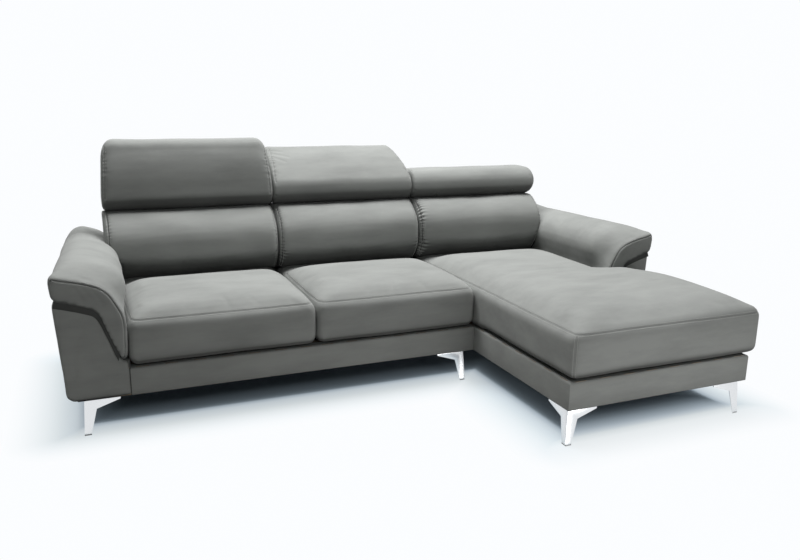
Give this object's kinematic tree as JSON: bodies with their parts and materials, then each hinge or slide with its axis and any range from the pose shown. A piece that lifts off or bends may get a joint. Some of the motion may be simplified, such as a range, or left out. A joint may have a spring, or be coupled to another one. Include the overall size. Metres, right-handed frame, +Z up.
{
  "type": "corner sofa",
  "caption": "Grey upholstered corner sofa with a chaise, padded arms, loose cushions, tilting headrests and polished corner legs.",
  "frame": {"origin": "on the floor, at the centre of the sofa's overall width and depth as it stands in the picture", "axes": "+X to the right as seen from the front, along the back; +Y towards the wall behind the sofa; +Z up"},
  "size_m": [2.784, 1.8385, 1.0961],
  "materials": {
    "grey_fabric": "matte",
    "black_cloth": "matte",
    "webbing": "matte",
    "polished_metal": "polished",
    "black_plastic": "matte",
    "timber": "matte",
    "plywood": "matte",
    "zinc_steel": "satin"
  },
  "bodies": {
    "sofa": {"sofa_front_rail": "timber", "sofa_back_rail": "timber", "sofa_inner_rails": "timber", "sofa_corner_blocks": "timber", "sofa_base_cover": "grey_fabric", "sofa_seat_webbing": "webbing", "sofa_dust_cover": "black_cloth", "sofa_back_uprights": "plywood", "sofa_back_boards": "plywood", "sofa_back_cover": "grey_fabric", "chaise_front_rail": "timber", "chaise_back_rail": "timber", "chaise_inner_rails": "timber", "chaise_corner_blocks": "timber", "chaise_base_cover": "grey_fabric", "chaise_seat_webbing": "webbing", "chaise_dust_cover": "black_cloth", "chaise_back_uprights": "plywood", "chaise_back_boards": "plywood", "chaise_back_cover": "grey_fabric", "left_arm_frame": "plywood", "left_arm_cover": "grey_fabric", "left_arm_pad": "grey_fabric", "right_arm_frame": "plywood", "right_arm_cover": "grey_fabric", "right_arm_pad": "grey_fabric", "left_seat_cushion": "grey_fabric", "middle_seat_cushion": "grey_fabric", "chaise_seat_cushion": "grey_fabric", "left_back_cushion": "grey_fabric", "middle_back_cushion": "grey_fabric", "right_back_cushion": "grey_fabric", "left_hinge_brackets": "zinc_steel", "middle_hinge_brackets": "zinc_steel", "right_hinge_brackets": "zinc_steel", "hinge_pins": "zinc_steel", "bracket_screws": "zinc_steel", "left_arm_leg": "polished_metal", "sofa_front_leg": "polished_metal", "chaise_corner_leg": "polished_metal", "chaise_outer_leg": "polished_metal", "sofa_rear_legs": "black_plastic", "chaise_rear_legs": "black_plastic", "leg_glides": "black_plastic", "leg_screws": "zinc_steel", "frame_bolts": "zinc_steel"},
    "left_headrest": {"left_headrest_cushion": "grey_fabric", "left_headrest_board": "plywood", "left_hinge_arms": "zinc_steel"},
    "middle_headrest": {"middle_headrest_cushion": "grey_fabric", "middle_headrest_board": "plywood", "middle_hinge_arms": "zinc_steel"},
    "right_headrest": {"right_headrest_cushion": "grey_fabric", "right_headrest_board": "plywood", "right_hinge_arms": "zinc_steel"}
  },
  "joints": [
    {"name": "left_headrest_tilt", "type": "hinge", "parent": "sofa", "child": "left_headrest", "pos_m": [-0.75, 0.6525, 0.83], "axis": [1, 0, 0], "range_deg": [-85, 0]},
    {"name": "middle_headrest_tilt", "type": "hinge", "parent": "sofa", "child": "middle_headrest", "pos_m": [0.01, 0.6525, 0.83], "axis": [1, 0, 0], "range_deg": [-44, 41]},
    {"name": "right_headrest_tilt", "type": "hinge", "parent": "sofa", "child": "right_headrest", "pos_m": [0.76, 0.6525, 0.83], "axis": [1, 0, 0], "range_deg": [0, 85]}
  ]
}
